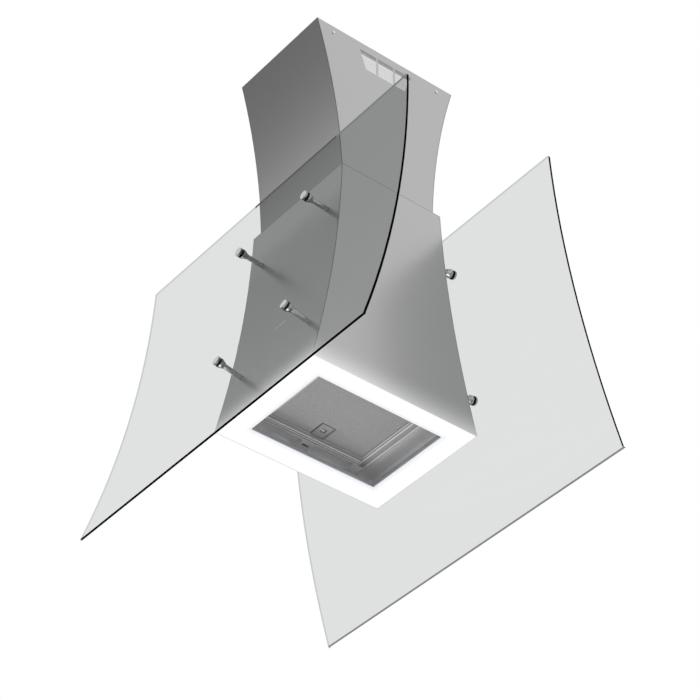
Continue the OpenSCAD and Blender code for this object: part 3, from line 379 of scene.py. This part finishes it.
def clear_glass(name, tone, painted_edge_shade):
    """Tempered glass, clear through its faces and to lamps. Its bottom and +X edges are painted dark, the rest
    pale, as painted shade and painted light set by their place.
    """
    finish = new_finish(name)
    across, through, _ = finish.facing()
    x, y, z = finish.place()
    low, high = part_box("front_glass")
    edge = abs(through) < EDGE_FACING
    upright = abs(across) > EDGE_FACING
    # Painted shade: the bottom and +X edges are painted near black by their place; the other edges stay pale.
    bottom = (1 - upright) * (z < (low.z + high.z) / 2) * (1 - (y > 0) * BACK_EDGE_PAINTED_LIGHT)
    dark = upright * (x > 0) + bottom
    smudges = finish.noise(even(9))
    pane = finish.add("BsdfPrincipled", {}, {
        "Base Color": as_colour(tone),
        "Roughness": 0.0,
        "IOR": GLASS_INDEX,
        "Transmission Weight": 1.0,
        "Coat Weight": smudges * SMUDGE,
    })
    painted_shade_rim = finish.add("BsdfPrincipled", {}, {
        "Base Color": as_colour(painted_edge_shade),
        "Roughness": 0.4,
        "Specular IOR Level": 0.0,
    })
    pale_rim = finish.add("BsdfTransparent", {}, {"Color": as_colour(PALE_EDGE)})
    rim = finish.blend_shader(dark.clamp(), pale_rim, painted_shade_rim)
    solid = finish.blend_shader(edge, pane, rim)
    open_to_lamps = finish.add("BsdfTransparent", {}, {"Color": as_colour(LAMP_TINT)})
    return finish.end(finish.blend_shader(finish.ray("Is Shadow Ray"), solid, open_to_lamps))


def circuit(name, tone):
    """A circuit board with a faint weave."""
    finish = new_finish(name)
    weave = finish.noise(even(1500))
    return finish.shade({
        "Base Color": finish.scaled(tone, weave.around(1.0, 0.3)),
        "Roughness": 0.5,
    })


# Sizes and colours that a user would change

class HoodFinish(bpy.types.PropertyGroup):
    """Colours and strengths of the finishes."""
    steel: bpy.props.FloatVectorProperty(
        name="Steel", description="Colour of the brushed sheets", subtype="COLOR", default=grey(0.46))
    plated: bpy.props.FloatVectorProperty(
        name="Plated", description="Colour of the frame and fasteners", subtype="COLOR", default=grey(0.35))
    chrome: bpy.props.FloatVectorProperty(
        name="Chrome", description="Colour of the polished shaft, screws and latch", subtype="COLOR",
        default=grey(0.72))
    rods: bpy.props.FloatVectorProperty(
        name="Rods", description="Colour of the rods and caps that hold the glass", subtype="COLOR",
        default=grey(0.50))
    glass: bpy.props.FloatVectorProperty(
        name="Glass", description="Tint of the glass", subtype="COLOR", default=(0.74, 0.757, 0.750))
    # Painted shade: the near-black colour of the glass's bottom and +X edges.
    glass_edge_painted_shade: bpy.props.FloatVectorProperty(
        name="Glass edge", description="Colour of the dark ground edges", subtype="COLOR", default=grey(0.002))
    light: bpy.props.FloatProperty(
        name="Light", description="Strength of the light panel", default=0.85, min=0)


class HoodMesh(bpy.types.PropertyGroup):
    """Sizes of the filter's expanded mesh."""
    cell_long: bpy.props.FloatProperty(
        name="Cell length", description="Long way of a mesh cell", unit="LENGTH", default=5.2 * MM)
    cell_short: bpy.props.FloatProperty(
        name="Cell width", description="Short way of a mesh cell", unit="LENGTH", default=3.2 * MM)
    strand: bpy.props.FloatProperty(
        name="Strand", description="Width of a strand", unit="LENGTH", default=0.7 * MM)
    rim: bpy.props.FloatProperty(
        name="Rim", description="Width of the filter frame's rim round the mesh", unit="LENGTH",
        default=4.5 * MM)


class HoodStage(bpy.types.PropertyGroup):
    """Camera, floor and even light."""
    lens: bpy.props.FloatProperty(
        name="Lens", description="Focal length on a 36 mm sensor, in millimetres", default=131.4)
    eye: bpy.props.FloatVectorProperty(
        name="Eye", description="Place of the camera", subtype="XYZ", unit="LENGTH",
        default=(3.11973, -2.47972, -4.00902))
    aim: bpy.props.FloatVectorProperty(
        name="Aim", description="Point that the camera looks at", subtype="XYZ", unit="LENGTH",
        default=(0.0, 0.009, -0.7322))
    floor_z: bpy.props.FloatProperty(
        name="Floor", description="Height of the floor", unit="LENGTH", default=-7.0)
    fill: bpy.props.FloatProperty(
        name="Fill", description="Strength of the studio's even light", default=0.7, min=0)


# Helpers for pieces

def new_piece(name, bm, body, material):
    """Makes a bmesh an object that rides on a body and takes a finish."""
    mesh = bpy.data.meshes.new(name)
    bm.to_mesh(mesh)
    bm.free()
    piece = bpy.data.objects.new(name, mesh)
    bpy.context.scene.collection.objects.link(piece)
    mesh.materials.append(material)
    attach(piece, body)


def paint(node, material):
    """Gives a CAD node one finish."""
    part = NODES[node]
    if not part.material_slots:
        part.data.materials.append(material)
    for slot in part.material_slots:
        slot.material = material


PLATED = ["plate_tabs", "upright_front_left", "upright_front_right", "upright_back_left", "upright_back_right",
          "upright_ties", "frame_bolts", "top_plate", "motor", "motor_bracket", "blower_bolts",
          "flap_pins", "terminal_box", "terminal_lid", "standoff_nuts"]
POLISHED = ["filter_latch", "motor_shaft", "chimney_screws"]
BUTTONS = ["button_1", "button_2", "button_3", "button_4", "button_5"]
RODS = ["standoff_rods", "standoff_caps", "standoff_collars"]
MOULDED = ["led_driver", "scroll_left", "scroll_right", "impeller", "outlet_collar", "flap_front", "flap_back",
           "control_housing", "tact_switches", "cable_gland"]
RUBBER = ["vibration_mounts", "glass_gaskets"]
FILTER = ["filter_frame"]


class HOOD_OT_finishes(bpy.types.Operator):
    """Gives every part its finish"""
    bl_idname = "hood.finishes"
    bl_label = "Finishes"

    def execute(self, context):
        look = context.scene.hood_finish
        finishes = [
            (brushed("brushed_cover", look.steel, "chimney_front", bowed=COVER_TOP),
             ["chimney_front", "chimney_back"]),
            (brushed("brushed_vent", look.steel, "chimney_left", slotted=True),
             ["chimney_left", "chimney_right"]),
            (brushed("brushed_body", look.steel, "body_front", bowed=BODY_TOP, painted_glow=0.36),
             ["body_front", "body_back"]),
            (brushed("brushed_side", look.steel, "body_left", painted_glow=0.27), ["body_left", "body_right"]),
            (sheet_metal("plated_steel", look.plated), PLATED),
            (polished("chrome", look.chrome), POLISHED),
            (polished("rod_steel", look.rods, rough=0.16), RODS),
            (moulded("button_satin", grey(0.8), rough=0.35, grain=2500), BUTTONS),
            (sheet_metal("zinc_plate", grey(0.75), rough=0.5, metallic=0.3), ["ceiling_bracket"]),
            (sheet_metal("cup_aluminium", grey(0.3), spangle=300, metallic=0.5), ["latch_cup"]),
            (moulded("black_moulding", grey(0.035)), MOULDED),
            (moulded("rubber", grey(0.02), rough=0.8), RUBBER),
            (sheet_metal("filter_aluminium", grey(0.5), spangle=200, metallic=0.6), FILTER),
            (pressed_tray("tray_steel", flat=0.33, ridge_painted_highlight=0.75, pocket_painted_light=0.95), ["suction_tray"]),
            (sheet_metal("capacitor_can", grey(0.6), rough=0.3), ["capacitor"]),
            (moulded("mesh_core", grey(0.12), grain=500, depth=0.4 * MM), ["filter_mesh"]),
            (circuit("circuit_board", (0.05, 0.22, 0.1)), ["control_board"]),
            (circuit("led_board", (0.7, 0.7, 0.68)), ["led_strips"]),
            (opal("opal", look.light), ["light_diffuser"]),
            (frame_with_painted_light("frame_with_painted_light", look.light * PAINTED_LIP_SHARE), ["light_frame"]),
            (clear_glass("clear_glass", look.glass, look.glass_edge_painted_shade), ["front_glass", "back_glass"]),
        ]
        for material, nodes in finishes:
            for node in nodes:
                paint(node, material)
        return {"FINISHED"}


MESH_LIFT = 0.35 * MM       # from a face of the filter's core to the middle of the mesh on it
STRAND_HALF_THICK = 0.25 * MM
CUP_GAP = (1.2 * MM, 1.5 * MM)  # room left round the latch cup for the middle of a strand, along X and Y


class HOOD_OT_filter_mesh(bpy.types.Operator):
    """Lays the expanded mesh over both faces of the filter's core"""
    bl_idname = "hood.filter_mesh"
    bl_label = "Filter Mesh"

    def execute(self, context):
        size = context.scene.hood_mesh
        low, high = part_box("filter_mesh")
        frame_low, frame_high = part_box("filter_frame")
        field = (frame_low.x + size.rim, frame_high.x - size.rim,
                 frame_low.y + size.rim, frame_high.y - size.rim)
        material = sheet_metal("mesh_aluminium", grey(0.62), spangle=300, metallic=0.4)
        for name, z in (("mesh_lower", low.z - MESH_LIFT), ("mesh_upper", high.z + MESH_LIFT)):
            bm = bmesh.new()
            add_expanded_mesh(bm, field, z, size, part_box("latch_cup"))
            new_piece(name, bm, "filter", material)
        return {"FINISHED"}


def add_expanded_mesh(bm, field, z, size, hole):
    """Strands of a diamond mesh over a field, each from one crossing to the next, with room round a hole."""
    x0, x1, y0, y1 = field
    columns = int((x1 - x0) / size.cell_short)
    rows = int((y1 - y0) / size.cell_long)
    dx, dy = (x1 - x0) / columns, (y1 - y0) / rows
    for i in range(columns):
        for j in range(2 * rows):
            stagger = 0.5 * (j % 2)
            a = Vector((x0 + dx * (i + stagger), y0 + dy * j / 2, z))
            for step in (1, -1):
                b = Vector((a.x + step * dx / 2, a.y + dy / 2, z))
                in_field = x0 <= b.x <= x1 and x0 <= a.x <= x1
                if in_field and not near_hole((a + b) / 2, hole):
                    add_strand(bm, a, b, size.strand / 2)
    bmesh.ops.recalc_face_normals(bm, faces=bm.faces)


def near_hole(point, hole):
    low, high = hole
    return (low.x - CUP_GAP[0] < point.x < high.x + CUP_GAP[0]
            and low.y - CUP_GAP[1] < point.y < high.y + CUP_GAP[1])


def add_strand(bm, a, b, half):
    """A short flat bar from a to b."""
    side = Vector((a.y - b.y, b.x - a.x, 0)).normalized() * half
    rise = Vector((0, 0, STRAND_HALF_THICK))
    corners = [a + side, a - side, b - side, b + side]
    bottom = [bm.verts.new(c - rise) for c in corners]
    top = [bm.verts.new(c + rise) for c in corners]
    bm.faces.new(bottom)
    bm.faces.new(top[::-1])
    for k in range(4):
        bm.faces.new((bottom[k], top[k], top[(k + 1) % 4], bottom[(k + 1) % 4])[::-1])


class HOOD_OT_stage(bpy.types.Operator):
    """Makes the floor, the world, the lamps and the camera"""
    bl_idname = "hood.stage"
    bl_label = "Stage"

    def execute(self, context):
        size = context.scene.hood_stage
        add_floor(size.floor_z)
        add_world(size.fill)
        add_lamps()
        add_camera(size)
        context.scene.view_settings.view_transform = "Standard"
        return {"FINISHED"}


FLOOR_HALF = 30             # half the side of the floor
BEHIND = grey(1.0)          # what the camera, gloss and glass see behind the hood

# One broad grey wall, which only gloss sees: the way to its middle, how far its edge spreads, and its tone
WALL_WAY = (-0.62, -0.76, 0.20)
WALL_SPREAD = (0.84, 0.945)
WALL_TONE = 0.23
GLASS_SHADE = 0.26          # how much darker steel and glass look together than each alone
SECOND_SHADE = 0.04         # the same again where the pane is mirrored too

SENSOR = 36                 # width of the camera's sensor, in millimetres
CLIP_END = 100

LAMPS = [
    # name, place, point it lights, side of its square, watts, whether gloss shows it
    ("over", (0.8, 1.2, 2.6), (0, 0, -0.5), 2.4, 40, False),
    ("under", (-0.5, 0.5, -3.2), (0, 0, -0.9), 1.8, 25, True),
]


def add_floor(z):
    bm = bmesh.new()
    bmesh.ops.create_grid(bm, x_segments=1, y_segments=1, size=FLOOR_HALF)
    mesh = bpy.data.meshes.new("floor")
    bm.to_mesh(mesh)
    bm.free()
    floor = bpy.data.objects.new("floor", mesh)
    floor.location = (0, 0, z)
    bpy.context.scene.collection.objects.link(floor)
    mesh.materials.append(new_finish("pale_floor").shade({"Base Color": grey(0.9), "Roughness": 0.9}))


def add_world(fill):
    """Even studio light with white behind the hood. Gloss sees white too, and one broad grey wall in front.

    Steel seen through glass mirrors a darker studio.
    """
    world = bpy.data.worlds.new("studio")
    bpy.context.scene.world = world
    finish = Finish(world)
    direction = finish.add("TexCoord", output="Generated")
    towards = finish.add("VectorMath", {"operation": "DOT_PRODUCT"}, {0: direction, 1: WALL_WAY}, "Value")
    gloss = finish.blend_colour(towards.ramp_from(*WALL_SPREAD), BEHIND, grey(WALL_TONE))
    mirrored = finish.ray("Glossy Depth").clamp()
    faces = finish.ray("Transmission Depth")
    shade = (faces > 0.5) * GLASS_SHADE + (faces > 2.5) * SECOND_SHADE
    gloss = finish.blend_colour(shade * mirrored, gloss, BLACK)
    lit = finish.blend_colour(finish.ray("Is Glossy Ray"), grey(fill), gloss)
    seen = finish.ray("Is Camera Ray") + finish.ray("Is Transmission Ray") * (1 - mirrored)
    colour = finish.blend_colour(seen.clamp(), lit, BEHIND)
    background = finish.add("Background", {}, {"Color": colour, "Strength": 1.0})
    finish.add("OutputWorld", {}, {"Surface": background})


def add_lamps():
    for name, place, target, side, watts, gloss in LAMPS:
        data = bpy.data.lights.new(name, "AREA")
        data.size = side
        data.energy = watts
        lamp = bpy.data.objects.new(name, data)
        aim_at(lamp, place, target)
        lamp.visible_camera = lamp.visible_transmission = False
        lamp.visible_glossy = gloss
        bpy.context.scene.collection.objects.link(lamp)


def add_camera(size):
    data = bpy.data.cameras.new("camera")
    data.lens = size.lens
    data.sensor_width = SENSOR
    data.clip_end = CLIP_END
    camera = bpy.data.objects.new("camera", data)
    aim_at(camera, size.eye, size.aim)
    bpy.context.scene.collection.objects.link(camera)
    bpy.context.scene.camera = camera


def aim_at(thing, place, target):
    """Puts a lamp or camera at a place and turns it towards a target."""
    thing.location = place
    thing.rotation_euler = (Vector(target) - Vector(place)).to_track_quat("-Z", "Y").to_euler()


class HOOD_PT_panel(bpy.types.Panel):
    """Shows a button for each operator in the sidebar"""
    bl_idname = "HOOD_PT_panel"
    bl_label = "Curved Glass Hood"
    bl_space_type = "VIEW_3D"
    bl_region_type = "UI"
    bl_category = "Hood"

    def draw(self, context):
        for operator in OPERATORS:
            self.layout.operator(operator.bl_idname)


GROUPS = {"hood_finish": HoodFinish, "hood_mesh": HoodMesh, "hood_stage": HoodStage}
OPERATORS = [HOOD_OT_finishes, HOOD_OT_filter_mesh, HOOD_OT_stage]


def register():
    for cls in [*GROUPS.values(), *OPERATORS, HOOD_PT_panel]:
        bpy.utils.register_class(cls)
    for name, group in GROUPS.items():
        setattr(bpy.types.Scene, name, bpy.props.PointerProperty(type=group))


def unregister():
    for name in GROUPS:
        delattr(bpy.types.Scene, name)
    for cls in [HOOD_PT_panel, *reversed(OPERATORS), *reversed(list(GROUPS.values()))]:
        bpy.utils.unregister_class(cls)


def main():
    register()
    bpy.ops.hood.finishes()
    bpy.ops.hood.filter_mesh()
    bpy.ops.hood.stage()


if __name__ == "__main__":
    main()
